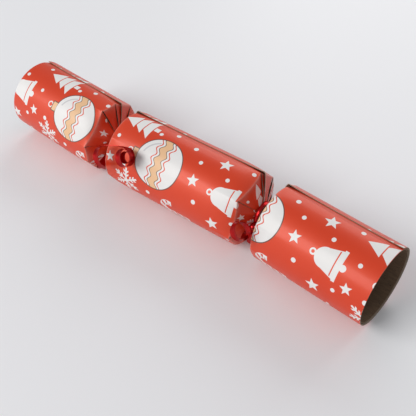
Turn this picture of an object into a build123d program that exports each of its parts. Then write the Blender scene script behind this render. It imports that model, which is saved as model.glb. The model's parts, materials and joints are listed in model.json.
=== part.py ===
from build123d import *

import os
from math import atan2, ceil, cos, degrees, hypot, radians, sin, tan

# Christmas cracker of rolled printed board: a barrel between two ends, choked to a pleated
# neck on each side and tied there with curling ribbon. It lies along X with the middle of the
# barrel over the origin, on the table at z = 0. Millimetres and degrees.
# An angle round a tube runs from +Y (back) over +Z (top) to -Y (front).

# Rolled board wrapper
tube_radius = 24.5
board = 0.4
barrel_length = 98.0
end_length = 74.5
waist_length = 16.5
seam_angle = 64.0
lap_width = 12.0
lap_gap = 0.1
lap_dive = 6.0
rest_yaw = -4.5

# Pleated necks, with the tear line between barrel and end
pleats = 9
pleat_phase = 68.0
pleat_depth = 2.2
neck_length = 1.6
neck_clearance = 0.3
flex_limit = 10.0
tear_clearance = 0.15

# Kraft liner tubes
liner_wall = 0.6
liner_clearance = 0.1
liner_waist_setback = 12.0
liner_mouth_setback = 0.8
liner_seam_angle = 130.0
liner_seam_gap = 0.8

# Snap: two card strips, their friction patches and the paper sleeve round the overlap
strip_width = 7.0
strip_thickness = 0.5
strip_gap = 0.5
strip_overlap = 28.0
strip_tail = 8.0
patch_length = 10.0
patch_width = 5.0
patch_thickness = 0.2
patch_inset = 2.0
sleeve_length = 32.0
sleeve_wall = 0.25
sleeve_clearance = 0.15

# Curling ribbon
ribbon_width = 5.0
ribbon_thickness = 0.3
ribbon_step = 20.0
ribbon_span = 1.5
tie_thickness = 0.6
tie_clearance = 0.4
tie_setback = 0.3
knot_angle = 195.0
knot_height = 4.4
knot_length = 5.0
knot_round = 1.0
knot_gap = 0.3
knot_spread = 6.0

# Left curl: an open loop that leans over the barrel's edge, then closer turns on the barrel
left_curl_way = (0.85, 0.03, 0.53)
left_loop_inset = 3.2
left_loop_lift = 4.9
left_loop_angle = 156.5
left_loop_start = 50.0
left_loop_turns = 0.33
left_loop_radius = 6.6
left_coil_inset = 19.6
left_coil_lift = 7.5
left_coil_angle = 144.0
left_coil_start = 210.0
left_coil_turns = 2.1
left_coil_outer_radius = 6.7
left_coil_inner_radius = 2.8
left_coil_rise = 4.5
bridge_way = (0.56, -0.53, 0.63)
bridge_pull = 0.2
lead_pull = 0.65
loop_pull = 0.2

# Right curl: two loose turns in front of the right choke
right_curl_way = (0.68, -0.08, 0.725)
right_curl_offset = 0.0
right_curl_lift = 4.1
right_curl_angle = 162.0
right_curl_start = 100.0
right_curl_turns = 1.6
right_curl_inner_radius = 4.4
right_curl_outer_radius = 6.2
right_curl_rise = 3.5

# Short end of each ribbon, under the choke
tail_angle = 242.0
tail_reach = 16.5
tail_outer_radius = 4.2
tail_inner_radius = 2.6
tail_start = 180.0
tail_turns = 1.25
tail_offset = 1.1

# Rolled paper hat with the motto inside it and an elastic band round it
hat_radius = 6.5
hat_length = 70.0
hat_angle = 235.0
hat_core_clearance = 0.2
motto_radius = 2.4
motto_wall = 0.6
motto_length = 45.0
elastic_thickness = 0.8
elastic_width = 2.5
elastic_clearance = 0.1

# Spinning top
top_radius = 8.0
top_height = 10.0
top_rim = 2.0
top_boss_radius = 3.2
top_boss_height = 1.5
top_round = 0.6
top_angle = 310.0
spindle_radius = 1.4
spindle_length = 22.0
spindle_tip = 2.0
spindle_fit = 0.05

# Loose contents lie this far off the liner
content_clearance = 0.3

# Places worked out from the sizes above
x_axis = Vector(1, 0, 0)
y_axis = Vector(0, 1, 0)
throat_x = (barrel_length + waist_length) / 2
rim = waist_length / 2
liner_outer_radius = tube_radius - 2 * board - lap_gap - liner_clearance
liner_inner_radius = liner_outer_radius - liner_wall

# Inside of a neck clears the sleeve's corners, so the snap can be drawn out through it
sleeve_half_width = strip_width / 2 + sleeve_clearance + sleeve_wall
sleeve_half_height = strip_gap / 2 + strip_thickness + sleeve_clearance + sleeve_wall
valley_inside = hypot(sleeve_half_width, sleeve_half_height) + neck_clearance
ridge_inside = valley_inside + pleat_depth
half_pleat = radians(180 / pleats)
fold_angle = atan2(valley_inside * sin(half_pleat), ridge_inside - valley_inside * cos(half_pleat))
ridge_outside = ridge_inside + board / sin(fold_angle)
valley_outside = valley_inside + board / sin(fold_angle + half_pleat)

# The two neck edges stay apart over the whole bend of the choke
half_gap = ridge_outside * tan(radians(flex_limit / 2)) + tear_clearance
neck_start = half_gap + neck_length
tie_inner_radius = ridge_outside + tie_clearance
tie_outer_radius = tie_inner_radius + tie_thickness
tie_inboard = neck_start - tie_setback
tie_outboard = half_gap - tie_setback


def around(x, radius, angle):
    """Point at an angle round the cracker's own axis."""
    turn = radians(angle)
    return Vector(x, radius * cos(turn), tube_radius + radius * sin(turn))


def outward(angle):
    """Direction straight out of the cracker's axis at an angle."""
    turn = radians(angle)
    return Vector(0, cos(turn), sin(turn))


def tube_plane(x):
    """Plane across the barrel, its own X to the back and its own Y up."""
    return Plane(origin=(x, 0, tube_radius), x_dir=(0, 1, 0), z_dir=(1, 0, 0))


def end_plane(side, distance):
    """Plane across a bent end, at a distance out from the middle of its choke."""
    turn = radians(rest_yaw)
    axis = Vector(cos(turn), sin(turn), 0)
    origin = Vector(side * throat_x, 0, tube_radius) + axis * (side * distance)
    return Plane(origin=origin, x_dir=(-sin(turn), cos(turn), 0), z_dir=axis)


def barrel_plane(side, distance):
    """Plane across the barrel, at a distance in from the middle of a choke."""
    return tube_plane(side * (throat_x - distance))


def on_circle(radius, angle):
    turn = radians(angle)
    return (radius * cos(turn), radius * sin(turn))


def lapped_ring(plane):
    """Section of the rolled sheet: its front edge dives under the free edge, which comes over the back."""
    inner_step = board + lap_gap
    lap_start = seam_angle - degrees(lap_width / tube_radius)
    dive_end = seam_angle + degrees(lap_dive / tube_radius)
    free_edge = seam_angle + 360
    half_arc = (free_edge - dive_end) / 2
    with BuildSketch(plane) as ring:
        with BuildLine():
            for layer in (0, board):
                lower = tube_radius - inner_step - layer
                CenterArc((0, 0), lower, lap_start, seam_angle - lap_start)
                Line(on_circle(lower, seam_angle), on_circle(tube_radius - layer, dive_end))
                CenterArc((0, 0), tube_radius - layer, dive_end, half_arc)
                CenterArc((0, 0), tube_radius - layer, dive_end + half_arc, half_arc)
            Line(on_circle(tube_radius, free_edge), on_circle(tube_radius - board, free_edge))
            Line(
                on_circle(tube_radius - inner_step, lap_start),
                on_circle(tube_radius - inner_step - board, lap_start),
            )
        make_face()
    return ring.sketch


def pleat_angles():
    return [pleat_phase + degrees(half_pleat) * count for count in range(2 * pleats)]


def rim_disc(plane, radius):
    """Round section with a corner at every pleat fold."""
    with BuildSketch(plane) as disc:
        with BuildLine():
            for angle in pleat_angles():
                CenterArc((0, 0), radius, angle, degrees(half_pleat))
        make_face()
    return disc.sketch


def neck_star(plane, ridge, valley):
    """Folded section of a neck, ridges and valleys in turn."""
    corners = []
    for count, angle in enumerate(pleat_angles()):
        radius = valley if count % 2 else ridge
        corners.append(on_circle(radius, angle))
    with BuildSketch(plane) as star:
        with BuildLine():
            Polyline(*corners, close=True)
        make_face()
    return star.sketch


def half_waist(plane_at, side):
    """Pleated shoulder from a tube's crease down to its neck edge at the tear line."""
    with BuildPart() as waist:
        loft(
            sections=[
                rim_disc(plane_at(side, rim + board), tube_radius),
                rim_disc(plane_at(side, rim), tube_radius),
                neck_star(plane_at(side, neck_start), ridge_outside, valley_outside),
                neck_star(plane_at(side, half_gap), ridge_outside, valley_outside),
            ],
            ruled=True,
        )
        loft(
            sections=[
                rim_disc(plane_at(side, rim + board), tube_radius - board),
                neck_star(plane_at(side, neck_start + board), ridge_inside, valley_inside),
                neck_star(plane_at(side, half_gap - board), ridge_inside, valley_inside),
            ],
            ruled=True,
            mode=Mode.SUBTRACT,
        )
    return waist.part


def liner_ring(plane):
    """Section of a kraft tube whose two edges meet at a narrow seam."""
    with BuildSketch(plane) as ring:
        Circle(liner_outer_radius)
        Circle(liner_inner_radius, mode=Mode.SUBTRACT)
        with Locations(on_circle(liner_outer_radius, liner_seam_angle)):
            Rectangle(4 * liner_wall, liner_seam_gap, rotation=liner_seam_angle, mode=Mode.SUBTRACT)
    return ring.sketch


def turn_points(centre, axis, zero_way, start, sweep, radius, end_radius, rise):
    """Points along a flat or rising spiral about an axis, angles counted from the zero way."""
    up = axis.cross(zero_way)
    count = ceil(abs(sweep) / ribbon_step)
    points = []
    for index in range(count + 1):
        share = index / count
        angle = radians(start + sweep * share)
        reach = radius + (end_radius - radius) * share
        arm = zero_way * (reach * cos(angle)) + up * (reach * sin(angle))
        points.append(centre + arm + axis * (rise * share))
    return points


def curl_points(way, middle, angle, start, turns, radius, end_radius, rise):
    """Turns of a curl about its own axis, counted from the place furthest out from the cracker."""
    axis = Vector(*way).normalized()
    out = outward(angle)
    zero_way = (out - axis * out.dot(axis)).normalized()
    return turn_points(middle, axis, zero_way, start, -360 * turns, radius, end_radius, rise)


def bridge_points(start, start_way, end, end_way, start_pull=1 / 3, end_pull=1 / 3):
    """Points of a smooth curve that leaves one place and comes into another, its far end left out."""
    length = (end - start).length
    first = start + start_way * (length * start_pull)
    last = end - end_way * (length * end_pull)
    count = ceil(length / ribbon_span)
    points = []
    for index in range(count):
        share = index / count
        rest = 1 - share
        curve = start * rest**3 + first * (3 * share * rest**2)
        points.append(curve + last * (3 * share**2 * rest) + end * share**3)
    return points


def heading(points, index):
    """Unit direction of a row of points at one of them."""
    before = points[max(index - 1, 0)]
    after = points[min(index + 1, len(points) - 1)]
    return (after - before).normalized()


def turned(first, last, count):
    """Width directions that turn evenly from one direction towards another."""
    return [first * (1 - index / count) + last * (index / count) for index in range(count)]


def ribbon_sections(points, guides):
    """Ribbon sections along a row of points, the width of each as near its guide as it can lie."""
    sections = []
    for index, point in enumerate(points):
        along = heading(points, index)
        across = guides[index] - along * guides[index].dot(along)
        with BuildSketch(Plane(origin=point, x_dir=across, z_dir=along)) as section:
            Rectangle(ribbon_width, ribbon_thickness)
        sections.append(section.sketch)
    return sections


def least_gap(points):
    """Least clear space between one turn of a ribbon and the next."""
    half_turn = round(180 / ribbon_step)
    spans = []
    for early in range(len(points)):
        for later in range(early + half_turn, len(points)):
            spans.append((points[later] - points[early]).length)
    return min(spans) - ribbon_thickness


def knot_top(side, angle):
    """Place on a knot's outer face, midway along its tie."""
    x = side * (throat_x - (tie_inboard - tie_outboard) / 2)
    return around(x, tie_outer_radius + knot_height, angle)


def knot_block(side):
    """Rounded knot, sunk to the inside of its tie."""
    out = outward(knot_angle)
    depth = knot_height + tie_thickness
    middle = knot_top(side, knot_angle) - out * (depth / 2)
    with BuildPart(Plane(middle, x_dir=x_axis, z_dir=out)) as knot:
        Box(tie_inboard + tie_outboard, knot_length, depth)
        fillet(knot.faces().sort_by(Axis(middle, out))[-1].edges(), knot_round)
    return knot.part


def ribbon_start(side, angle):
    """Place just clear of a knot where a ribbon end comes out of it."""
    return knot_top(side, angle) + outward(angle) * knot_gap


def content_place(radius, angle):
    """Middle of a loose round thing that lies against the barrel's liner."""
    return around(0, liner_inner_radius - content_clearance - radius, angle)


def save(part, name):
    part.label = name
    export_step(part, "parts/" + name + ".step")


os.makedirs("parts", exist_ok=True)

# Barrel wrapper with a pleated shoulder at each side, and its liner
with BuildPart() as barrel_wrap:
    extrude(lapped_ring(tube_plane(board - barrel_length / 2)), amount=barrel_length - 2 * board)
    add(half_waist(barrel_plane, -1))
    add(half_waist(barrel_plane, 1))
save(barrel_wrap.part, "barrel_wrap")

with BuildPart() as barrel_liner:
    barrel_liner_length = barrel_length - 2 * liner_waist_setback
    extrude(liner_ring(tube_plane(-barrel_liner_length / 2)), amount=barrel_liner_length)
save(barrel_liner.part, "barrel_liner")

for side, side_name in ((-1, "left"), (1, "right")):
    # End wrapper, open at its mouth, and its liner
    with BuildPart() as end_wrap:
        extrude(lapped_ring(end_plane(side, rim + board)), amount=side * (end_length - board))
        add(half_waist(end_plane, side))
    save(end_wrap.part, side_name + "_end_wrap")

    with BuildPart() as end_liner:
        end_liner_length = end_length - liner_waist_setback - liner_mouth_setback
        extrude(liner_ring(end_plane(side, rim + liner_waist_setback)), amount=side * end_liner_length)
    save(end_liner.part, side_name + "_end_liner")

    # Snap strip and its friction patch: the left strip lies over the right one
    strip_inner_x = -side * strip_overlap / 2
    strip_outer_x = side * (throat_x + strip_tail)
    strip_z = tube_radius - side * (strip_gap + strip_thickness) / 2
    with BuildPart(Plane(((strip_inner_x + strip_outer_x) / 2, 0, strip_z))) as snap_strip:
        Box(abs(strip_outer_x - strip_inner_x), strip_width, strip_thickness)
    save(snap_strip.part, side_name + "_snap_strip")

    patch_x = strip_inner_x + side * (patch_inset + patch_length / 2)
    patch_z = tube_radius - side * (strip_gap - patch_thickness) / 2
    with BuildPart(Plane((patch_x, 0, patch_z))) as snap_patch:
        Box(patch_length, patch_width, patch_thickness)
    save(snap_patch.part, side_name + "_snap_patch")

    # Ribbon tie round the barrel's neck, with its knot
    with BuildPart() as ribbon_tie:
        with BuildSketch(barrel_plane(side, tie_inboard)) as tie_ring:
            Circle(tie_outer_radius)
        extrude(amount=side * (tie_inboard + tie_outboard))
        add(knot_block(side))
        with BuildSketch(barrel_plane(side, tie_inboard)) as tie_hole:
            Circle(tie_inner_radius)
        extrude(amount=side * (tie_inboard + tie_outboard), mode=Mode.SUBTRACT)
    save(ribbon_tie.part, side_name + "_ribbon_tie")

    # Short ribbon end, curled in the gap under the choke
    tail_from = ribbon_start(side, knot_angle + knot_spread)
    tail_centre = around(side * (throat_x - tail_offset), tail_reach, tail_angle)
    tail_turn = turn_points(
        tail_centre, x_axis, y_axis, tail_start, 360 * tail_turns, tail_outer_radius, tail_inner_radius, 0
    )
    tail_lead = bridge_points(tail_from, outward(knot_angle), tail_turn[0], heading(tail_turn, 0))
    tail_points = tail_lead + tail_turn
    with BuildPart() as ribbon_tail:
        loft(sections=ribbon_sections(tail_points, [x_axis] * len(tail_points)), ruled=True)
    save(ribbon_tail.part, side_name + "_ribbon_tail")
    print(side_name, "ribbon tail, least gap to itself", round(least_gap(tail_points), 2))

# Long ribbon end on the left: out of the knot, round an open loop, along the barrel and into a coil
left_axis = Vector(*left_curl_way).normalized()
loop_turn = curl_points(
    left_curl_way,
    around(left_loop_inset - barrel_length / 2, tube_radius + left_loop_lift, left_loop_angle),
    left_loop_angle,
    left_loop_start,
    left_loop_turns,
    left_loop_radius,
    left_loop_radius,
    0,
)
coil_turn = curl_points(
    left_curl_way,
    around(left_coil_inset - barrel_length / 2, tube_radius + left_coil_lift, left_coil_angle),
    left_coil_angle,
    left_coil_start,
    left_coil_turns,
    left_coil_outer_radius,
    left_coil_inner_radius,
    left_coil_rise,
)
left_lead = bridge_points(
    ribbon_start(-1, knot_angle - knot_spread),
    outward(knot_angle),
    loop_turn[0],
    heading(loop_turn, 0),
    lead_pull,
    loop_pull,
)
left_bridge = bridge_points(
    loop_turn[-1],
    heading(loop_turn, len(loop_turn) - 1),
    coil_turn[0],
    heading(coil_turn, 0),
    bridge_pull,
    bridge_pull,
)
half_bridge = len(left_bridge) // 2
on_edge = Vector(*bridge_way)
left_points = left_lead + loop_turn[:-1] + left_bridge + coil_turn
left_guides = turned(x_axis, left_axis, len(left_lead)) + [left_axis] * (len(loop_turn) - 1)
left_guides += turned(left_axis, on_edge, half_bridge)
left_guides += turned(on_edge, left_axis, len(left_bridge) - half_bridge) + [left_axis] * len(coil_turn)
with BuildPart() as left_ribbon_curl:
    loft(sections=ribbon_sections(left_points, left_guides), ruled=True)
save(left_ribbon_curl.part, "left_ribbon_curl")
print("left ribbon curl, least gap to itself", round(least_gap(left_points), 2))

# Long ribbon end on the right: out of the knot into two loose turns in front of the choke
right_axis = Vector(*right_curl_way).normalized()
right_turn = curl_points(
    right_curl_way,
    around(throat_x + right_curl_offset, tube_radius + right_curl_lift, right_curl_angle),
    right_curl_angle,
    right_curl_start,
    right_curl_turns,
    right_curl_inner_radius,
    right_curl_outer_radius,
    right_curl_rise,
)
right_lead = bridge_points(
    ribbon_start(1, knot_angle - knot_spread), outward(knot_angle), right_turn[0], heading(right_turn, 0)
)
right_points = right_lead + right_turn
right_guides = turned(x_axis, right_axis, len(right_lead)) + [right_axis] * len(right_turn)
with BuildPart() as right_ribbon_curl:
    loft(sections=ribbon_sections(right_points, right_guides), ruled=True)
save(right_ribbon_curl.part, "right_ribbon_curl")
print("right ribbon curl, least gap to itself", round(least_gap(right_points), 2))

# Paper sleeve round the overlap of the two strips, glued to the left one
sleeve_inner_width = strip_width + 2 * sleeve_clearance
sleeve_top = strip_gap / 2 + strip_thickness
sleeve_bottom = -sleeve_top - sleeve_clearance
with BuildPart() as snap_sleeve:
    with BuildSketch(tube_plane(-sleeve_length / 2)) as sleeve_section:
        with Locations((0, (sleeve_top + sleeve_bottom) / 2)):
            Rectangle(sleeve_inner_width + 2 * sleeve_wall, sleeve_top - sleeve_bottom + 2 * sleeve_wall)
            Rectangle(sleeve_inner_width, sleeve_top - sleeve_bottom, mode=Mode.SUBTRACT)
    extrude(amount=sleeve_length)
save(snap_sleeve.part, "snap_sleeve")

# Rolled hat, the motto inside it and the elastic band round it
elastic_inner_radius = hat_radius + elastic_clearance
elastic_outer_radius = elastic_inner_radius + elastic_thickness
hat_place = content_place(elastic_outer_radius, hat_angle)


def roll(length, outer, inner):
    """Round tube on the hat's axis, about the middle of the barrel."""
    with BuildPart() as tube:
        plane = Plane(origin=hat_place - x_axis * (length / 2), x_dir=(0, 1, 0), z_dir=(1, 0, 0))
        with BuildSketch(plane):
            Circle(outer)
            Circle(inner, mode=Mode.SUBTRACT)
        extrude(amount=length)
    return tube.part


with BuildPart() as paper_hat:
    add(roll(hat_length, hat_radius, motto_radius + hat_core_clearance))
save(paper_hat.part, "paper_hat")

with BuildPart() as motto_slip:
    add(roll(motto_length, motto_radius, motto_radius - motto_wall))
save(motto_slip.part, "motto_slip")

with BuildPart() as hat_elastic:
    add(roll(elastic_width, elastic_outer_radius, elastic_inner_radius))
save(hat_elastic.part, "hat_elastic")

# Spinning top lying on its side, its spindle along the barrel
top_place = content_place(top_radius, top_angle)
top_axis = Axis(top_place, x_axis)
top_plane = Plane(origin=top_place, x_dir=(1, 0, 0), z_dir=(0, -1, 0))
top_bore = spindle_radius + spindle_fit
with BuildPart() as top_body:
    with BuildSketch(top_plane):
        with BuildLine():
            Polyline(
                (-top_height / 2, top_bore),
                (-top_height / 2, top_boss_radius),
                (-top_rim / 2, top_radius),
                (top_rim / 2, top_radius),
                (top_height / 2 - top_boss_height, top_boss_radius),
                (top_height / 2, top_boss_radius),
                (top_height / 2, top_bore),
                close=True,
            )
        make_face()
    revolve(axis=top_axis)
    fillet(top_body.edges().filter_by(GeomType.CIRCLE).group_by(lambda edge: edge.radius)[-1], top_round)
save(top_body.part, "top_body")

with BuildPart() as top_spindle:
    with BuildSketch(top_plane):
        with BuildLine():
            Polyline(
                (-spindle_length / 2, 0),
                (spindle_tip - spindle_length / 2, spindle_radius),
                (spindle_length / 2, spindle_radius),
                (spindle_length / 2, 0),
                close=True,
            )
        make_face()
    revolve(axis=top_axis)
save(top_spindle.part, "top_spindle")
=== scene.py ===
import json
from math import cos, pi, radians, sin

import bpy
import numpy as np
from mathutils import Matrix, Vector


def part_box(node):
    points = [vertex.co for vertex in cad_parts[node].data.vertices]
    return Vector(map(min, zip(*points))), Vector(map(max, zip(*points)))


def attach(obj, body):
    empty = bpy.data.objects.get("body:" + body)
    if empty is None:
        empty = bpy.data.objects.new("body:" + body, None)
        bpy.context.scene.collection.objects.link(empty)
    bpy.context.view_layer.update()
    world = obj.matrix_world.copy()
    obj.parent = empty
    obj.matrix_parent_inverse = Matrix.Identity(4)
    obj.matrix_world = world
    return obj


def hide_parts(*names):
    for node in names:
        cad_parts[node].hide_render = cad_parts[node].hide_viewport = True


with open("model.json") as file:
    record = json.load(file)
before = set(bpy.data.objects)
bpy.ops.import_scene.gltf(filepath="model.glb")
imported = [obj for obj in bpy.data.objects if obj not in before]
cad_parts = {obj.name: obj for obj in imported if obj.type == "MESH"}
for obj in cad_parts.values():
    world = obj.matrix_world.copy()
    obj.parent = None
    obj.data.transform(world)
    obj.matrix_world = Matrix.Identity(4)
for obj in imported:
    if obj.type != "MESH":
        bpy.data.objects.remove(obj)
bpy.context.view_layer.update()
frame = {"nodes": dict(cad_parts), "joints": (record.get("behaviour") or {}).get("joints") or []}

# Christmas cracker in printed board: the looks of every piece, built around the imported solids.
# Sizes are millimetres and degrees, as in the part's source. Meshes are written in metres.
# An angle round a tube runs from +Y (back) over +Z (top) to -Y (front).
MM = 0.001

# Sizes read from the frame
barrel_low, barrel_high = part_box("barrel_wrap")
tie_low, tie_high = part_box("right_ribbon_tie")
throat_x = [joint["pos_m"][0] for joint in frame["joints"] if joint["name"] == "right_flex"][0] / MM
tube_radius = (barrel_high.z - barrel_low.z) / 2 / MM
half_gap = throat_x - barrel_high.x / MM
tie_middle = (tie_low.x + tie_high.x) / 2 / MM
tie_width = (tie_high.x - tie_low.x) / MM

# Rolled board wrapper, its free edge lapped over the front of the sheet
board = 0.4
barrel_length = 98.0
end_length = 74.5
waist_length = 16.5
rim = waist_length / 2
rest_yaw = -4.5
seam_angle = 64
lap_degrees = 28
dive_degrees = 14
lap_gap = 0.1
flap_degrees = 26
flap_lift_rim = 1.3
flap_reach_rim = 8.0
flap_lift_mouth = 0.5
flap_reach_mouth = 7.0
dent_height = 0.05

# Waists: flat panels between slits, folded in from the corners of a rim to a pleated neck
left_end_corners = (38, 76, 102, 168, 198, 232, 262, 292, 322, 352)
barrel_left_corners = (17, 44, 70, 97, 131, 167, 197, 227, 257, 287, 317, 347)
barrel_right_corners = (22, 70, 131, 195, 225, 255, 285, 315, 345)
right_end_corners = (7, 42, 72, 102, 145, 187, 217, 247, 277, 307, 337)
panel_reach = 6.0
panel_step = 1.0
corner_rise = 1.3
crease_softness = 0.12
pleats = 9
pleat_phase = 68.0
neck_length = 1.6
ridge_radius = 7.34
valley_radius = 4.88

# Curling ribbon
ribbon_width = 5.0
ribbon_thickness = 0.12
ribbon_cup = 0.2
tie_radius = 8.0
tie_sweep = 372.0
tie_spread = 0.2
tie_inset = 0.2
knot_angle = 195.0
knot_middle = 10.3
knot_top = 12.74
knot_spread = 6.0
knot_gap = 0.3
roll_start = 20.0
roll_sweep = 560.0
roll_radii = (1.9, 2.2)
roll_inset = 0.3
tail_offset = 1.1
tail_reach = 16.5
tail_angle = 242.0
tail_start = 180.0
tail_sweep = 450.0
tail_radii = (4.2, 2.6)
lead_pull = 0.65
loop_pull = 0.2
# The place of a curl's middle is its x, its radius and its angle round the tube
left_curl_way = (0.85, 0.03, 0.53)
left_loop_place = (3.2 - barrel_length / 2, tube_radius + 4.9, 156.5)
left_loop_start = 50.0
left_loop_turns = 0.33
left_loop_radii = (6.6, 6.6)
left_coil_place = (19.6 - barrel_length / 2, tube_radius + 7.5, 144.0)
left_coil_start = 210.0
left_coil_turns = 2.1
left_coil_radii = (6.7, 2.8)
left_coil_rise = 4.5
bridge_way = (0.56, -0.53, 0.63)
bridge_pull = 0.2
right_curl_way = (0.68, -0.08, 0.725)
right_curl_place = (throat_x, tube_radius + 4.1, 162.0)
right_curl_start = 100.0
right_curl_turns = 1.6
right_curl_radii = (4.4, 6.2)
right_curl_rise = 3.5

# Printed pattern, one tile of the flat sheet
tile_width = 74.0
tile_length = 100.0
ink_edge = 0.12


# Flat coordinates and shells

def unit(vectors):
    """Vectors of length one."""
    return vectors / np.linalg.norm(vectors, axis=-1, keepdims=True)


def grid_normals(grid):
    """Unit normals of a grid of points, columns crossed with rows."""
    along = np.gradient(grid, axis=0)
    across = np.gradient(grid, axis=1)
    return unit(np.cross(across, along))


def rim_edges(kept):
    """Edges of the kept cells of a grid that only one kept cell has, as pairs of grid places."""
    owners = {}
    for row, column in np.argwhere(kept):
        corners = [(row, column), (row, column + 1), (row + 1, column + 1), (row + 1, column)]
        for first, last in zip(corners, corners[1:] + corners[:1]):
            key = (min(first, last), max(first, last))
            owners.setdefault(key, []).append((first, last))
    return [edges[0] for edges in owners.values() if len(edges) == 1]


def shell(name, grid, thickness, flat, materials, holes=None, values=None):
    """Closed thin sheet: a grid of points in millimetres, its back face and its edges.

    flat gives each point's place on the flat sheet. The materials are face, back and edge.
    """
    rows, columns = grid.shape[:2]
    count = rows * columns
    number = np.arange(count).reshape(rows, columns)
    back = grid - grid_normals(grid) * thickness
    kept = np.ones((rows - 1, columns - 1), bool)
    if holes is not None:
        kept &= ~holes
    cells = np.stack((number[:-1, :-1], number[:-1, 1:], number[1:, 1:], number[1:, :-1]), axis=-1)[kept]
    edges = np.array([(number[first], number[last]) for first, last in rim_edges(kept)])
    walls = np.stack((edges[:, 1], edges[:, 0], edges[:, 0] + count, edges[:, 1] + count), axis=-1)
    faces = np.concatenate((cells, cells[:, ::-1] + count, walls))
    points = np.concatenate((grid.reshape(-1, 3), back.reshape(-1, 3))) * MM
    mesh = bpy.data.meshes.new(name)
    mesh.from_pydata(points.tolist(), [], faces.tolist())
    for material in materials:
        mesh.materials.append(material)
    layer = [0] * len(cells) + [1] * len(cells) + [2] * len(walls)
    mesh.polygons.foreach_set("material_index", [min(index, len(materials) - 1) for index in layer])
    sheet = np.concatenate((flat.reshape(-1, 2), flat.reshape(-1, 2)))
    mesh.uv_layers.new(name="sheet").data.foreach_set("uv", sheet[faces.reshape(-1)].reshape(-1))
    for key, value in (values or {}).items():
        attribute = mesh.attributes.new(key, "FLOAT", "POINT")
        attribute.data.foreach_set("value", np.tile(value.reshape(-1), 2))
    mesh.polygons.foreach_set("use_smooth", [True] * len(faces))
    mesh.set_sharp_from_angle(angle=radians(38))
    mesh.update()
    piece = bpy.data.objects.new(name, mesh)
    bpy.context.scene.collection.objects.link(piece)
    return piece


def place(piece, body, slot, *nodes):
    """A finished piece rides on its body and stands for its solids. The slot is not used."""
    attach(piece, body)
    if nodes:
        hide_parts(*nodes)


# Shader formulas

class Field:
    """A number that varies over a surface, so that a pattern can be written as a formula."""

    def __init__(self, tree, socket):
        self.tree = tree
        self.socket = socket

    def math(self, operation, *others):
        node = self.tree.nodes.new("ShaderNodeMath")
        node.operation = operation
        for slot, value in zip(node.inputs, (self, *others)):
            if isinstance(value, Field):
                self.tree.links.new(value.socket, slot)
            else:
                slot.default_value = value
        return Field(self.tree, node.outputs[0])

    def __add__(self, other):
        return self.math("ADD", other)

    def __sub__(self, other):
        return self.math("SUBTRACT", other)

    def __mul__(self, other):
        return self.math("MULTIPLY", other)

    def __truediv__(self, other):
        return self.math("DIVIDE", other)

    def __abs__(self):
        return self.math("ABSOLUTE")

    def __neg__(self):
        return self.math("MULTIPLY", -1.0)

    def lower(self, other):
        return self.math("MINIMUM", other)

    def higher(self, other):
        return self.math("MAXIMUM", other)

    def clamped(self):
        field = self.math("ADD", 0.0)
        field.socket.node.use_clamp = True
        return field


def length_of(across, up):
    """Distance from the middle of a motif."""
    return (across * across + up * up).math("SQRT")


def inked(distance, edge=ink_edge):
    """Share of ink at a distance from an outline, negative inside it."""
    return (distance / -edge + 0.5).clamped()


def box_distance(across, up, half_width, half_height):
    return (abs(across) - half_width).higher(abs(up) - half_height)


def new_material(name, roughness, metallic=0.0, specular=0.5, coat=0.0, coat_roughness=0.2):
    """Named material, its node tree and its shader, with a share of clear gloss over it."""
    material = bpy.data.materials.new(name)
    material.use_nodes = True
    shader = material.node_tree.nodes["Principled BSDF"]
    shader.inputs["Roughness"].default_value = roughness
    shader.inputs["Metallic"].default_value = metallic
    shader.inputs["Specular IOR Level"].default_value = specular
    shader.inputs["Coat Weight"].default_value = coat
    shader.inputs["Coat Roughness"].default_value = coat_roughness
    return material, material.node_tree, shader


def flat_place(tree):
    """The two coordinates of the flat sheet in millimetres."""
    node = tree.nodes.new("ShaderNodeUVMap")
    node.uv_map = "sheet"
    split = tree.nodes.new("ShaderNodeSeparateXYZ")
    tree.links.new(node.outputs["UV"], split.inputs[0])
    return Field(tree, split.outputs["X"]), Field(tree, split.outputs["Y"])


def vector_of(tree, x, y, z=0.0):
    """Vector made of fields or numbers."""
    node = tree.nodes.new("ShaderNodeCombineXYZ")
    for slot, value in zip(node.inputs, (x, y, z)):
        if isinstance(value, Field):
            tree.links.new(value.socket, slot)
        else:
            slot.default_value = value
    return node.outputs[0]


def object_place(tree):
    node = tree.nodes.new("ShaderNodeTexCoord")
    return node.outputs["Object"]


def noise(tree, vector, scale, detail=3.0, roughness=0.55):
    """Noise field from 0 to 1."""
    node = tree.nodes.new("ShaderNodeTexNoise")
    node.inputs["Scale"].default_value = scale
    node.inputs["Detail"].default_value = detail
    node.inputs["Roughness"].default_value = roughness
    tree.links.new(vector, node.inputs["Vector"])
    return Field(tree, node.outputs["Fac"])


def between(tree, share, first, last):
    """Colour mixed by a share from one colour to another, each a colour or a socket."""
    node = tree.nodes.new("ShaderNodeMix")
    node.data_type = "RGBA"
    tree.links.new(share.socket, node.inputs[0])
    for slot, value in ((node.inputs[6], first), (node.inputs[7], last)):
        if isinstance(value, tuple):
            slot.default_value = (*value, 1.0)
        else:
            tree.links.new(value, slot)
    return node.outputs[2]


def bump(tree, shader, height, distance, strength=1.0):
    """Surface relief, its height field worth a distance in millimetres."""
    node = tree.nodes.new("ShaderNodeBump")
    node.inputs["Distance"].default_value = distance * MM
    node.inputs["Strength"].default_value = strength
    tree.links.new(height.socket, node.inputs["Height"])
    tree.links.new(node.outputs["Normal"], shader.inputs["Normal"])


def link_value(tree, field, socket):
    tree.links.new(field.socket, socket)


# Printed board

red_ink = (0.70, 0.050, 0.012)
red_deep = (0.66, 0.042, 0.010)
white_ink = (0.80, 0.79, 0.775)
peach_ink = (0.80, 0.50, 0.28)
line_ink = (0.10, 0.05, 0.04)
shade_ink = (0.60, 0.59, 0.60)
# Pale colour along the rim creases: worn ink, and also a painted highlight that stands in for the light the
# creases catch
worn_ink_and_highlight = (0.74, 0.36, 0.30)

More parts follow.
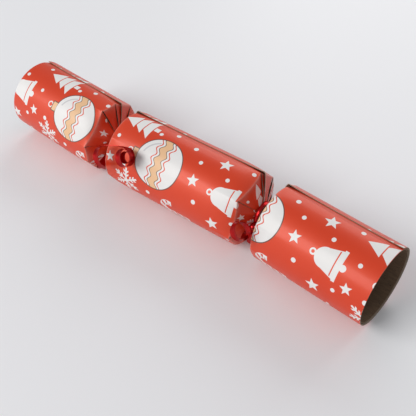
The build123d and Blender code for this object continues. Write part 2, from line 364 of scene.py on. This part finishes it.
bauble_place = (30.0, 10.0)
bauble_radius = 16.5
bauble_band = 2.8
cane_place = (57.0, -8.0)
cane_hook = 4.6
cane_stem = 15.0
cane_stroke = 2.1
tree_place = (10.0, 36.5)
tree_tiers = ((-9.5, 0.5, 9.6), (-3.2, 6.6, 7.8), (3.0, 12.8, 5.9))
tree_trunk = (1.7, 2.2)
bell_place = (31.0, -39.0)
bell_dome = 6.0
bell_lip = (9.2, 1.1)
flake_place = (52.0, 31.0)
flake_radius = 10.0
stars = ((11.0, -29.0, 4.8), (50.0, -36.0, 4.6), (29.5, -16.5, 4.2), (69.0, 9.0, 4.0), (40.0, 45.5, 3.8))
star_waist = 0.44
dots = (
    (6.0, 10.5, 1.5),
    (11.5, 20.0, 1.3),
    (25.0, 44.5, 1.3),
    (41.0, 33.5, 1.5),
    (66.5, 44.0, 1.4),
    (68.0, 23.0, 1.3),
    (52.5, 13.5, 1.5),
    (10.0, -6.0, 1.5),
    (17.5, -15.0, 1.3),
    (6.5, -46.0, 1.4),
    (41.5, -21.5, 1.5),
    (45.0, -48.0, 1.3),
    (67.5, -31.0, 1.5),
    (60.5, -46.0, 1.3),
    (20.0, -36.0, 1.3),
)


def tile_fields(tree):
    """Function that gives a motif's own coordinates, across and up, from its place in the tile."""
    along, around_tube = flat_place(tree)
    column = (around_tube / tile_width).math("FLOOR")
    drop = column.math("FLOORED_MODULO", 2.0) * (tile_length / 2)
    across = around_tube - column * tile_width
    up = drop - along

    def from_place(middle_across, middle_up):
        own_up = (up - middle_up).math("WRAP", tile_length / 2, -tile_length / 2)
        return across - middle_across, own_up

    return from_place


def bauble(from_place):
    """White ball with a wavy band, a cap and a ring: distances to each of its parts."""
    across, up = from_place(*bauble_place)
    ball = length_of(across, up) - bauble_radius
    cap = box_distance(across, up - (bauble_radius + 1.6), 3.2, 2.0)
    ring = abs(length_of(across, up - (bauble_radius + 5.4)) - 1.8) - 0.4
    wave = (across * 0.9).math("SINE") * 1.1
    band = abs(up + wave) - bauble_band
    lines = abs(abs(up + wave) - (bauble_band + 2.2)) - 0.4
    shine = abs(length_of(across, up) - bauble_radius * 0.8) - 0.5
    shine = shine.higher(across + 3.0).higher(-up + 5.0)
    return ball, cap, ring, band, lines, shine


def candy_cane(from_place):
    """Striped hooked stick: its outline and its stripes."""
    across, up = from_place(*cane_place)
    own_up = up - cane_stem / 2 + cane_hook / 2
    hook = (abs(length_of(across, own_up) - cane_hook) - cane_stroke).higher(-own_up)
    stem = box_distance(across - cane_hook, own_up + cane_stem / 2, cane_stroke, cane_stem / 2)
    tip = box_distance(across + cane_hook, own_up + 1.2, cane_stroke, 1.2)
    stick = hook.lower(stem).lower(tip)
    stripes = abs(((across * 0.7 + up) / 5.0).math("FRACT") - 0.5) * 5.0 - 1.2
    return stick, stripes.higher(stick + 0.5)


def pine_tree(from_place):
    """Three-tiered tree with a trunk, a thin gap under each upper tier."""
    across, up = from_place(*tree_place)
    side = abs(across)
    whole = box_distance(across, up - tree_tiers[0][0] + tree_trunk[1], *tree_trunk)
    for base, top, half_width in tree_tiers:
        slope = half_width / (top - base)
        tier = ((side - (-up + top) * slope) * (1 + slope * slope) ** -0.5).higher(-up + base)
        whole = whole.higher(-(tier - 0.7)).lower(tier)
    return whole


def snowflake(from_place):
    """Six-armed flake with side branches."""
    across, up = from_place(*flake_place)
    reach = length_of(across, up)
    angle = up.math("ARCTAN2", across).math("WRAP", pi / 6, -pi / 6)
    out = reach * angle.math("COSINE")
    side = abs(reach * angle.math("SINE"))
    flake = (side - 0.65).higher(out - flake_radius)
    for start, tip in ((3.6, 2.2), (6.4, 2.0)):
        line = abs((out - start) * 0.77 - side * 0.64) - 0.55
        flake = flake.lower(line.higher(side - tip).higher(-out + start))
    return flake


def bell(from_place):
    """Hand bell with a lip, a clapper and a loop: its outline and the line above its lip."""
    across, up = from_place(*bell_place)
    dome = length_of(across, up - 2.0) - bell_dome
    flare = (abs(across) + (up - 2.0) * 0.3 - bell_dome) * 0.95
    skirt = flare.higher(abs(up + 2.5) - 4.5)
    lip = box_distance(across, up + 7.0, *bell_lip)
    clapper = length_of(across, up + 9.2) - 2.0
    loop = abs(length_of(across, up - 9.4) - 1.5) - 0.5
    whole = dome.lower(skirt).lower(lip).lower(clapper).lower(loop)
    line = (abs(up + 4.2) - 0.35).higher(skirt + 0.5)
    return whole, line


def five_point_stars(from_place):
    """Small solid stars."""
    nearest = None
    for middle_across, middle_up, radius in stars:
        across, up = from_place(middle_across, middle_up)
        reach = length_of(across, up)
        angle = across.math("ARCTAN2", up).math("WRAP", pi / 5, -pi / 5)
        inner_out = star_waist * cos(pi / 5)
        inner_side = star_waist * sin(pi / 5)
        edge = ((1 - inner_out) ** 2 + inner_side**2) ** 0.5
        out = reach * angle.math("COSINE") - radius
        side = abs(reach * angle.math("SINE"))
        distance = out * (inner_side / edge) + side * ((1 - inner_out) / edge)
        nearest = distance if nearest is None else nearest.lower(distance)
    return nearest


def spots(from_place):
    """Small round dots scattered between the motifs."""
    nearest = None
    for middle_across, middle_up, radius in dots:
        distance = length_of(*from_place(middle_across, middle_up)) - radius
        nearest = distance if nearest is None else nearest.lower(distance)
    return nearest


def printed_board():
    """Satin red board with a festive print in white, peach and a dark line."""
    material, tree, shader = new_material("printed_board", 0.5, specular=0.5, coat=0.22)
    shader.inputs["Specular Tint"].default_value = (1.0, 0.80, 0.66, 1.0)
    from_place = tile_fields(tree)
    along, around_tube = flat_place(tree)
    sheet = vector_of(tree, along, around_tube)
    ball, cap, ring, band, lines, shine = bauble(from_place)
    stick, stripes = candy_cane(from_place)
    bell_shape, bell_line = bell(from_place)
    white = stick.lower(pine_tree(from_place)).lower(snowflake(from_place)).lower(bell_shape)
    white = white.lower(five_point_stars(from_place)).lower(spots(from_place))
    body = ball.lower(cap)
    white_share = inked(white.lower(ring).lower(body)) * (-inked(stripes) + 1.0)
    peach_share = inked(band.higher(ball)).higher(inked(cap.higher(-ball)))
    outline = (abs(body) - 0.3).lower((abs(band) - 0.25).higher(ball))
    red_share = inked(lines.higher(ball + 0.3).lower(bell_line))
    crease_node = tree.nodes.new("ShaderNodeAttribute")
    crease_node.attribute_name = "crease"
    crease = Field(tree, crease_node.outputs["Fac"])
    # Lighter along the rim crease: worn ink and a painted highlight
    wear_and_highlight = (crease * noise(tree, sheet, 0.9, 4.0) * 1.1).clamped()
    mottle = noise(tree, sheet, 0.05, 2.0)
    colour = between(tree, mottle, red_ink, red_deep)
    colour = between(tree, white_share, colour, white_ink)
    colour = between(tree, peach_share, colour, peach_ink)
    colour = between(tree, red_share, colour, red_ink)
    colour = between(tree, inked(shine), colour, shade_ink)
    colour = between(tree, inked(outline), colour, line_ink)
    colour = between(tree, wear_and_highlight, colour, worn_ink_and_highlight)
    tree.links.new(colour, shader.inputs["Base Color"])
    ink = white_share.higher(peach_share).higher(inked(outline))
    link_value(tree, (-ink + 1.0) * 0.10, shader.inputs["Metallic"])
    fibres = noise(tree, sheet, 0.7, 5.0, 0.65)
    link_value(tree, fibres * 0.10 + ink * 0.10 + 0.42, shader.inputs["Roughness"])
    bump(tree, shader, fibres, 0.05, 0.35)
    return material


def plain_board(name, pale, dark, roughness):
    """Uncoated brown-grey board with fibres, for the back and the cut edges of the wrapper."""
    material, tree, shader = new_material(name, roughness, specular=0.25)
    place_in = object_place(tree)
    fibres = noise(tree, place_in, 900.0, 5.0, 0.7)
    tree.links.new(between(tree, fibres, dark, pale), shader.inputs["Base Color"])
    bump(tree, shader, fibres, 0.06, 0.5)
    return material


def kraft_board():
    """Brown kraft liner with long fibres and darker specks."""
    material, tree, shader = new_material("kraft", 0.85, specular=0.2)
    place_in = object_place(tree)
    stretch = tree.nodes.new("ShaderNodeMapping")
    stretch.inputs["Scale"].default_value = (180.0, 900.0, 900.0)
    tree.links.new(place_in, stretch.inputs["Vector"])
    fibres = noise(tree, stretch.outputs[0], 1.0, 5.0, 0.65)
    specks = noise(tree, place_in, 1500.0, 2.0)
    colour = between(tree, fibres, (0.110, 0.068, 0.042), (0.300, 0.200, 0.128))
    dark = ((specks - 0.62) * 9.0).clamped()
    tree.links.new(between(tree, dark, colour, (0.080, 0.054, 0.039)), shader.inputs["Base Color"])
    bump(tree, shader, fibres + specks * 0.4, 0.08, 0.6)
    return material


def ribbon_foil():
    """Metallic red curling ribbon with fine lines along it."""
    material, tree, shader = new_material("ribbon_foil", 0.3, metallic=0.96, coat=0.25, coat_roughness=0.15)
    along, across = flat_place(tree)
    lines = noise(tree, vector_of(tree, along * 0.06, across * 5.0), 1.0, 3.0)
    slow = noise(tree, vector_of(tree, along * 0.25, across * 0.3), 1.0, 2.0)
    colour = between(tree, lines, (0.36, 0.004, 0.006), (0.52, 0.010, 0.012))
    tree.links.new(colour, shader.inputs["Base Color"])
    shader.inputs["Specular Tint"].default_value = (0.60, 0.03, 0.04, 1.0)
    link_value(tree, slow * 0.16 + 0.24, shader.inputs["Roughness"])
    bump(tree, shader, lines, 0.03, 0.5)
    return material


def creased_paper(name, pale, deep, roughness, scale, depth):
    """Thin paper with a soft crinkle."""
    material, tree, shader = new_material(name, roughness, specular=0.3)
    place_in = object_place(tree)
    crinkle = noise(tree, place_in, scale, 4.0, 0.6)
    fibres = noise(tree, place_in, scale * 6, 3.0, 0.6)
    tree.links.new(between(tree, crinkle * 0.7 + fibres * 0.3, deep, pale), shader.inputs["Base Color"])
    bump(tree, shader, crinkle + fibres * 0.2, depth, 0.8)
    return material


def snap_compound():
    """Dark gritty friction patch."""
    material, tree, shader = new_material("friction_patch", 0.75, specular=0.35)
    grit = noise(tree, object_place(tree), 4000.0, 4.0, 0.7)
    colour = between(tree, grit, (0.025, 0.022, 0.022), (0.11, 0.095, 0.09))
    tree.links.new(colour, shader.inputs["Base Color"])
    bump(tree, shader, grit, 0.12, 0.9)
    return material


def elastic_band():
    """Natural rubber with a dusty surface."""
    material, tree, shader = new_material("elastic", 0.62)
    dust = noise(tree, object_place(tree), 1400.0, 4.0)
    tree.links.new(between(tree, dust, (0.46, 0.30, 0.14), (0.66, 0.50, 0.30)), shader.inputs["Base Color"])
    bump(tree, shader, dust, 0.04, 0.6)
    shader.inputs["Subsurface Weight"].default_value = 0.08
    shader.inputs["Subsurface Radius"].default_value = (0.0008, 0.0004, 0.0002)
    return material


def top_plastic():
    """Moulded amber plastic with fine scuffs."""
    material, tree, shader = new_material("top_plastic", 0.25)
    scuff = noise(tree, object_place(tree), 700.0, 6.0, 0.7)
    cloud = noise(tree, object_place(tree), 160.0, 2.0)
    colour = between(tree, cloud, (0.68, 0.40, 0.03), (0.80, 0.55, 0.07))
    tree.links.new(colour, shader.inputs["Base Color"])
    link_value(tree, scuff * 0.25 + 0.14, shader.inputs["Roughness"])
    bump(tree, shader, scuff, 0.02, 0.4)
    return material


def turned_wood():
    """Pale turned wood with grain along the spindle."""
    material, tree, shader = new_material("top_wood", 0.5)
    stretch = tree.nodes.new("ShaderNodeMapping")
    stretch.inputs["Scale"].default_value = (90.0, 1500.0, 1500.0)
    tree.links.new(object_place(tree), stretch.inputs["Vector"])
    grain = noise(tree, stretch.outputs[0], 1.0, 5.0, 0.6)
    colour = between(tree, grain, (0.30, 0.17, 0.07), (0.62, 0.43, 0.23))
    tree.links.new(colour, shader.inputs["Base Color"])
    bump(tree, shader, grain, 0.05, 0.5)
    return material


print_face = printed_board()
board_back = plain_board("board_back", (0.44, 0.35, 0.27), (0.30, 0.23, 0.17), 0.8)
board_edge = plain_board("board_edge", (0.38, 0.29, 0.21), (0.24, 0.18, 0.13), 0.85)
kraft = kraft_board()
foil = ribbon_foil()
tissue = creased_paper("tissue", (0.07, 0.36, 0.13), (0.03, 0.22, 0.07), 0.7, 260.0, 0.25)
motto_paper = creased_paper("motto_paper", (0.86, 0.86, 0.83), (0.76, 0.75, 0.71), 0.8, 300.0, 0.06)
sleeve_paper = creased_paper("sleeve_paper", (0.82, 0.80, 0.74), (0.72, 0.69, 0.62), 0.85, 420.0, 0.08)
snap_card = creased_paper("snap_card", (0.66, 0.62, 0.54), (0.50, 0.46, 0.39), 0.85, 650.0, 0.08)
node_materials = {
    "barrel_liner": kraft,
    "left_end_liner": kraft,
    "right_end_liner": kraft,
    "left_snap_strip": snap_card,
    "right_snap_strip": snap_card,
    "left_snap_patch": snap_compound(),
    "right_snap_patch": bpy.data.materials["friction_patch"],
    "snap_sleeve": sleeve_paper,
    "hat_elastic": elastic_band(),
    "top_body": top_plastic(),
    "top_spindle": turned_wood(),
}
for node_name, material in node_materials.items():
    node_mesh = frame["nodes"][node_name].data
    node_mesh.materials.clear()
    node_mesh.materials.append(material)


# Rolled wrapper: barrel and two ends, printed as one sheet

neck_start = half_gap + neck_length
wrap_angles = seam_angle - lap_degrees + np.arange(0, 360 + lap_degrees + 1)
waist_shares = np.concatenate((np.linspace(0, 0.92, 12), (0.97, 1.0)))
shoulder_steps = np.array((0.15, 0.4, 0.8, 1.4, 2.2, 3.2, 4.5, 6.0, 8.0, 10.5, 13.5))
row_step = 4.0
# A panel is longer than the way along the tube that it takes up
panel_slope = (tube_radius - (ridge_radius + valley_radius) / 2) / (rim - neck_start)
gather_share = (1 + panel_slope * panel_slope) ** 0.5 - 1
gathered = gather_share * (rim - neck_start)
choke_along = throat_x + gathered


def panel_places(corners):
    """Each angle's share of the way between two rim corners, and that way in degrees."""
    turns = np.sort(corners)
    angles = wrap_angles % 360
    following = np.searchsorted(turns, angles, side="right")
    before = turns[following - 1]
    width = (turns[following % len(turns)] - before) % 360
    return ((angles - before) % 360) / width, width


def crease_line(corners):
    """Distance of the rim's crease from the choke for each angle, furthest at the corners."""
    share, width = panel_places(corners)
    return rim + corner_rise * (width / 60) * ((2 * share - 1) ** 2 - 0.4)


def sheet_rows(corners, far):
    """Distances from the choke of a section's rows of points, for each angle: neck, panels, tube."""
    crease = crease_line(corners)[None, :]
    neck = np.full(crease.shape, half_gap)
    panels = neck_start + waist_shares[:, None] * (crease - neck_start)
    shoulder = crease + shoulder_steps[:, None]
    steps = round((far - rim - shoulder_steps[-1]) / row_step)
    tube_shares = np.linspace(0, 1, steps + 1)[1:, None]
    tube = shoulder[-1:] + tube_shares * (far - shoulder[-1:])
    return np.concatenate((neck, panels, shoulder, tube))


def wrap_profile(distance, corners):
    """Radius of the sheet, and its shift along the tube, for each row and angle."""
    share, width = panel_places(corners)
    crease = crease_line(corners)
    from_middle = np.radians((share - 0.5) * width)
    chord = tube_radius * np.cos(np.radians(width / 2)) / np.cos(from_middle)
    pleat = ((wrap_angles - pleat_phase) / (360 / pleats)) % 1
    star = valley_radius + (ridge_radius - valley_radius) * abs(2 * pleat - 1)
    cone = star + (chord - star) * (distance - neck_start) / (crease - neck_start)
    flattened = (tube_radius - chord) * np.exp(-np.clip(distance - crease, 0, None) / panel_reach)
    dents = np.sin(distance / 9.0 + 1.7) * np.sin(np.radians(wrap_angles * 3.0 + distance * 2.0))
    tube = tube_radius - flattened + dent_height * dents
    rounded = -crease_softness * np.logaddexp(-tube / crease_softness, -cone / crease_softness)
    radius = np.where(distance < neck_start, star, np.maximum(rounded, star))
    down = np.clip((crease - distance) / (crease - neck_start), 0, 1)
    shift = panel_step * (0.5 - share) * np.sin(pi * down)
    return radius, shift


def flap_lift(distance, mouth):
    """How far the free edge of the lap stands off, for each row and angle."""
    from_edge = np.clip(1 - (seam_angle + 360 - wrap_angles) / flap_degrees, 0, 1) ** 2
    rise = flap_lift_rim * np.exp(-abs(distance - rim) / flap_reach_rim)
    rise = rise + flap_lift_mouth * np.exp(-(mouth - distance) / flap_reach_mouth)
    return rise * from_edge * np.clip((distance - neck_start) / (rim - neck_start), 0, 1)


def lap_dive():
    """How far the sheet's front edge lies under the free edge, for each angle."""
    share = np.clip((seam_angle + dive_degrees - wrap_angles) / dive_degrees, 0, 1)
    return (board + lap_gap) * share * share * (3 - 2 * share)


def slits(distance, corners):
    """Cells of the grid that are cut away: a slit from each rim corner down to the neck."""
    crease = crease_line(corners)
    middle_row = (distance[:-1, :-1] + distance[1:, :-1]) / 2
    in_panel = (middle_row > neck_start) & (middle_row < crease[:-1])
    at_corner = np.isin(wrap_angles[1:] % 360, np.array(corners) % 360)
    return in_panel & at_corner[None, :]


def slant(distance, corners):
    """Place along the flat sheet, counted from the choke, which runs on down the waist without a break."""
    crease = crease_line(corners)
    return distance + gathered - gather_share * (crease - distance).clip(0)


def wrap_section(corners, side, far, to_frame, mouth):
    """Grid of one section from its choke outwards, its place on the flat sheet, its slits and its crease
    lightening, which is worn ink and a painted highlight.
    """
    distance = sheet_rows(corners, far)
    radius, shift = wrap_profile(distance, corners)
    grid = to_frame(side, distance + shift, radius)
    outward_way = grid_normals(grid) * side
    lift = flap_lift(distance, mouth) - lap_dive()[None, :]
    grid = grid + outward_way * lift[..., None]
    # Share of the crease lightening, worn ink and a painted highlight, falling off away from the rim crease
    crease_wear_and_highlight = np.exp(-abs(distance - crease_line(corners)) / 0.35)
    return grid, slant(distance, corners), slits(distance, corners), crease_wear_and_highlight


def barrel_frame(side, distance, radius):
    """Points of the barrel from distances in from a choke and radii."""
    turn = np.radians(wrap_angles)[None, :]
    along = side * (distance - throat_x)
    return np.stack((along, radius * np.cos(turn), tube_radius + radius * np.sin(turn)), axis=-1)


def end_frame(side, distance, radius):
    """Points of a bent end from distances out from its choke and radii."""
    yaw = radians(rest_yaw)
    axis = np.array((cos(yaw), sin(yaw), 0.0)) * side
    back = np.array((-sin(yaw), cos(yaw), 0.0))
    upward = np.array((0.0, 0.0, 1.0))
    origin = np.array((side * throat_x, 0.0, tube_radius))
    turn = np.radians(wrap_angles)[None, :]
    level = (radius * np.cos(turn))[..., None] * back
    upright = (radius * np.sin(turn))[..., None] * upward
    return origin + distance[..., None] * axis + level + upright


def wrap_piece(name, grid, along, cut, crease_wear_and_highlight):
    """Rolled sheet as a closed thin shell, printed outside."""
    arc = np.broadcast_to(tube_radius * np.radians(wrap_angles - seam_angle), along.shape)
    flat = np.stack((along, arc), axis=-1)
    return shell(name, grid, board, flat, (print_face, board_back, board_edge), cut, {"crease": crease_wear_and_highlight})


left_grid, left_along, left_cut, left_wear_and_highlight = wrap_section(
    barrel_left_corners, 1, throat_x, barrel_frame, 2 * throat_x
)
right_grid, right_along, right_cut, right_wear_and_highlight = wrap_section(
    barrel_right_corners, -1, throat_x, barrel_frame, 2 * throat_x
)
# Both halves have the row at the middle of the barrel, so the right one leaves it out
barrel_wrap = wrap_piece(
    "barrel_wrapper",
    np.concatenate((left_grid, right_grid[-2::-1])),
    np.concatenate((left_along - choke_along, choke_along - right_along[-2::-1])),
    np.concatenate((left_cut, right_cut[::-1])),
    np.concatenate((left_wear_and_highlight, right_wear_and_highlight[-2::-1])),
)
place(barrel_wrap, "barrel", "printed_board", "barrel_wrap")

mouth = rim + end_length
for side, side_name, corners in ((-1, "left", left_end_corners), (1, "right", right_end_corners)):
    grid, along, cut, crease_wear_and_highlight = wrap_section(corners, side, mouth, end_frame, mouth)
    order = slice(None, None, side)
    along = side * (choke_along + along)
    end_wrap = wrap_piece(side_name + "_end_wrapper", grid[order], along[order], cut[order], crease_wear_and_highlight[order])
    place(end_wrap, side_name + "_end", "printed_board", side_name + "_end_wrap")


# Curling ribbon

x_way = np.array((1.0, 0.0, 0.0))
y_way = np.array((0.0, 1.0, 0.0))


def outward(angle):
    turn = radians(angle)
    return np.array((0.0, cos(turn), sin(turn)))


def around(x, radius, angle):
    return np.array((x, 0.0, tube_radius)) + outward(angle) * radius


def turn_points(centre, axis, zero_way, start, sweep, radius, end_radius, rise, step=5.0):
    """Points along a flat or rising spiral about an axis, angles counted from the zero way."""
    up = np.cross(axis, zero_way)
    share = np.linspace(0, 1, round(abs(sweep) / step) + 1)[:, None]
    angle = np.radians(start + sweep * share)
    reach = radius + (end_radius - radius) * share
    return centre + zero_way * reach * np.cos(angle) + up * reach * np.sin(angle) + axis * rise * share


def bridge_points(start, start_way, end, end_way, start_pull=1 / 3, end_pull=1 / 3, span=0.6):
    """Points of a smooth curve from one place into another, its far end left out."""
    length = np.linalg.norm(end - start)
    share = np.linspace(0, 1, round(length / span) + 1)[:-1, None]
    rest = 1 - share
    first = start + start_way * (length * start_pull)
    last = end - end_way * (length * end_pull)
    return start * rest**3 + first * 3 * share * rest**2 + last * 3 * share**2 * rest + end * share**3


def turned(first, last, count):
    """Width directions that turn evenly from one direction towards another."""
    share = np.linspace(0, 1, count, endpoint=False)[:, None]
    return first * (1 - share) + last * share


def heading(points):
    return unit(np.gradient(points, axis=0))


def ribbon(name, points, guides, width=ribbon_width, thickness=ribbon_thickness, cup=ribbon_cup, columns=9):
    """Thin cupped band along a row of points, its width as near its guide as it can lie."""
    along = heading(points)
    across = unit(guides - along * np.sum(guides * along, axis=1, keepdims=True))
    facing = np.cross(along, across)
    offset = np.linspace(-0.5, 0.5, columns)
    grid = points[:, None, :] + across[:, None, :] * (offset * width)[None, :, None]
    grid = grid + facing[:, None, :] * (cup * (1 - 4 * offset**2))[None, :, None]
    travelled = np.concatenate(([0.0], np.cumsum(np.linalg.norm(np.diff(points, axis=0), axis=1))))
    flat = np.stack(np.broadcast_arrays(travelled[:, None], (offset * width)[None, :]), axis=-1)
    return shell(name, grid, thickness, flat, (foil,))


def ribbon_start(side, angle):
    """Place just clear of a knot where a ribbon end comes out of it."""
    return around(side * tie_middle, knot_top + knot_gap, angle)


def curl_turn(axis, middle, start, turns, radii, rise):
    """Turns of a curl about its own axis, counted from the place furthest out from the barrel."""
    x, reach, angle = middle
    out = outward(angle)
    zero_way = unit(out - axis * np.dot(out, axis))
    return turn_points(around(x, reach, angle), axis, zero_way, start, -360 * turns, *radii, rise)


for side, side_name in ((-1, "left"), (1, "right")):
    neck_point = np.array((side * tie_middle, 0.0, tube_radius))
    tie_path = turn_points(
        neck_point, x_way, y_way, knot_angle, tie_sweep, tie_radius, tie_radius + tie_spread, 0
    )
    tie_guides = np.tile(x_way, (len(tie_path), 1))
    tie_band = ribbon(side_name + "_tie_band", tie_path, tie_guides, tie_width - tie_inset)
    place(tie_band, "barrel", "ribbon_foil", side_name + "_ribbon_tie")
    middle = around(side * tie_middle, knot_middle, knot_angle)
    tangent = np.cross(x_way, outward(knot_angle))
    roll_path = turn_points(middle, x_way, tangent, roll_start, roll_sweep, *roll_radii, 0, step=12)
    roll_guides = np.tile(x_way, (len(roll_path), 1))
    knot_roll = ribbon(side_name + "_knot_roll", roll_path, roll_guides, tie_width - roll_inset)
    place(knot_roll, "barrel", "ribbon_foil")

    tail_centre = around(side * (throat_x - tail_offset), tail_reach, tail_angle)
    tail_turn = turn_points(tail_centre, x_way, y_way, tail_start, tail_sweep, *tail_radii, 0)
    tail_from = ribbon_start(side, knot_angle + knot_spread)
    tail_lead = bridge_points(tail_from, outward(knot_angle), tail_turn[0], heading(tail_turn)[0])
    tail_path = np.concatenate((tail_lead, tail_turn))
    tail = ribbon(side_name + "_tail_curl", tail_path, np.tile(x_way, (len(tail_path), 1)))
    place(tail, "barrel", "ribbon_foil", side_name + "_ribbon_tail")

# Left curl: an open loop that leans over the barrel's edge, then closer turns on the barrel
left_axis = unit(np.array(left_curl_way))
loop_turn = curl_turn(left_axis, left_loop_place, left_loop_start, left_loop_turns, left_loop_radii, 0.0)
coil_turn = curl_turn(
    left_axis, left_coil_place, left_coil_start, left_coil_turns, left_coil_radii, left_coil_rise
)
left_from = ribbon_start(-1, knot_angle - knot_spread)
left_lead = bridge_points(
    left_from, outward(knot_angle), loop_turn[0], heading(loop_turn)[0], lead_pull, loop_pull
)
left_bridge = bridge_points(
    loop_turn[-1], heading(loop_turn)[-1], coil_turn[0], heading(coil_turn)[0], bridge_pull, bridge_pull
)
half_bridge = len(left_bridge) // 2
on_edge = np.array(bridge_way)
left_path = np.concatenate((left_lead, loop_turn[:-1], left_bridge, coil_turn))
left_guides = np.concatenate((
    turned(x_way, left_axis, len(left_lead)),
    np.tile(left_axis, (len(loop_turn) - 1, 1)),
    turned(left_axis, on_edge, half_bridge),
    turned(on_edge, left_axis, len(left_bridge) - half_bridge),
    np.tile(left_axis, (len(coil_turn), 1)),
))
left_curl = ribbon("left_curl", left_path, left_guides)
place(left_curl, "barrel", "ribbon_foil", "left_ribbon_curl")

# Right curl: two loose turns in front of the choke
right_axis = unit(np.array(right_curl_way))
right_turn = curl_turn(
    right_axis, right_curl_place, right_curl_start, right_curl_turns, right_curl_radii, right_curl_rise
)
right_from = ribbon_start(1, knot_angle - knot_spread)
right_lead = bridge_points(right_from, outward(knot_angle), right_turn[0], heading(right_turn)[0])
right_path = np.concatenate((right_lead, right_turn))
right_guides = np.concatenate((
    turned(x_way, right_axis, len(right_lead)),
    np.tile(right_axis, (len(right_turn), 1)),
))
right_curl = ribbon("right_curl", right_path, right_guides)
place(right_curl, "barrel", "ribbon_foil", "right_ribbon_curl")


# Rolled paper hat with a zigzag crown edge, and the motto rolled inside it

def rolled_paper(name, node, inner, outer, turns, thickness, point_depth, point_width, material):
    """Paper wound up from the inside out, one end cut into points."""
    low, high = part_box(node)
    middle = np.array((low + high) / 2) / MM
    length = (high.x - low.x) / MM
    angle = np.linspace(0, 2 * pi * turns, round(48 * turns))
    radius = inner + (outer - inner) * angle / angle[-1]
    travelled = np.concatenate(([0.0], np.cumsum(radius[1:] * np.diff(angle))))
    points = point_depth * abs((travelled / point_width) % 1 * 2 - 1)
    share = np.linspace(0, 1, 15)[None, :]
    along = -length / 2 + share * (length - points[:, None])
    crinkle = 0.04 * np.sin(travelled[:, None] * 0.9 + along * 0.35) * np.sin(along * 0.5)
    reach = radius[:, None] + crinkle
    level = reach * np.cos(angle)[:, None]
    upright = reach * np.sin(angle)[:, None]
    grid = np.stack((along, level, upright), axis=-1) + middle
    flat = np.stack(np.broadcast_arrays(along, travelled[:, None]), axis=-1)
    return shell(name, grid, thickness, flat, (material,))


hat = rolled_paper("hat_roll_tissue", "paper_hat", 2.75, 6.4, 9.6, 0.05, 14.0, 30.0, tissue)
place(hat, "hat_roll", "tissue", "paper_hat")
motto = rolled_paper("motto_roll", "motto_slip", 1.85, 2.3, 2.4, 0.08, 0.0, 30.0, motto_paper)
place(motto, "hat_roll", "motto_paper", "motto_slip")


# Floor, light and camera

floor_colour = (0.85, 0.85, 0.865)
floor_mesh = bpy.data.meshes.new("floor")
floor_size = 4.0
floor_corners = [(x * floor_size, y * floor_size, 0.0) for x, y in ((-1, -1), (1, -1), (1, 1), (-1, 1))]
floor_mesh.from_pydata(floor_corners, [], [(0, 1, 2, 3)])
floor = bpy.data.objects.new("floor", floor_mesh)
bpy.context.scene.collection.objects.link(floor)
floor_material, _, floor_shader = new_material("floor", 0.45, specular=0.5)
floor_shader.inputs["Base Color"].default_value = (*floor_colour, 1.0)
floor_mesh.materials.append(floor_material)


def softbox(name, way, distance, width, height, power):
    """Large soft lamp that faces the object from a direction."""
    lamp = bpy.data.lights.new(name, "AREA")
    lamp.shape = "RECTANGLE"
    lamp.size = width
    lamp.size_y = height
    lamp.energy = power
    holder = bpy.data.objects.new(name, lamp)
    bpy.context.scene.collection.objects.link(holder)
    direction = unit(np.array(way))
    holder.location = direction * distance
    holder.rotation_euler = Vector(direction).to_track_quat("Z", "Y").to_euler()


softbox("key", (-0.46, -0.66, 0.60), 2.0, 1.4, 0.9, 24.5)
softbox("fill", (-0.60, -0.80, 0.28), 1.6, 1.4, 0.8, 3.0)
softbox("back", (-0.10, 1.0, 0.55), 1.6, 1.6, 1.0, 11.0)

world = bpy.data.worlds.new("studio")
bpy.context.scene.world = world
world.use_nodes = True
world.node_tree.nodes["Background"].inputs["Color"].default_value = (0.92, 0.93, 0.96, 1.0)
world.node_tree.nodes["Background"].inputs["Strength"].default_value = 0.38

camera_data = bpy.data.cameras.new("camera")
camera_data.lens = 57.18
camera_data.sensor_width = 36.0
camera = bpy.data.objects.new("camera", camera_data)
bpy.context.scene.collection.objects.link(camera)
camera_azimuth = 36.59
camera_elevation = 45.32
camera.location = (0.19438, -0.24095, 0.30858)
camera.rotation_euler = (radians(90 - camera_elevation), 0.0, radians(camera_azimuth))
bpy.context.scene.camera = camera
bpy.context.scene.view_settings.view_transform = "Standard"
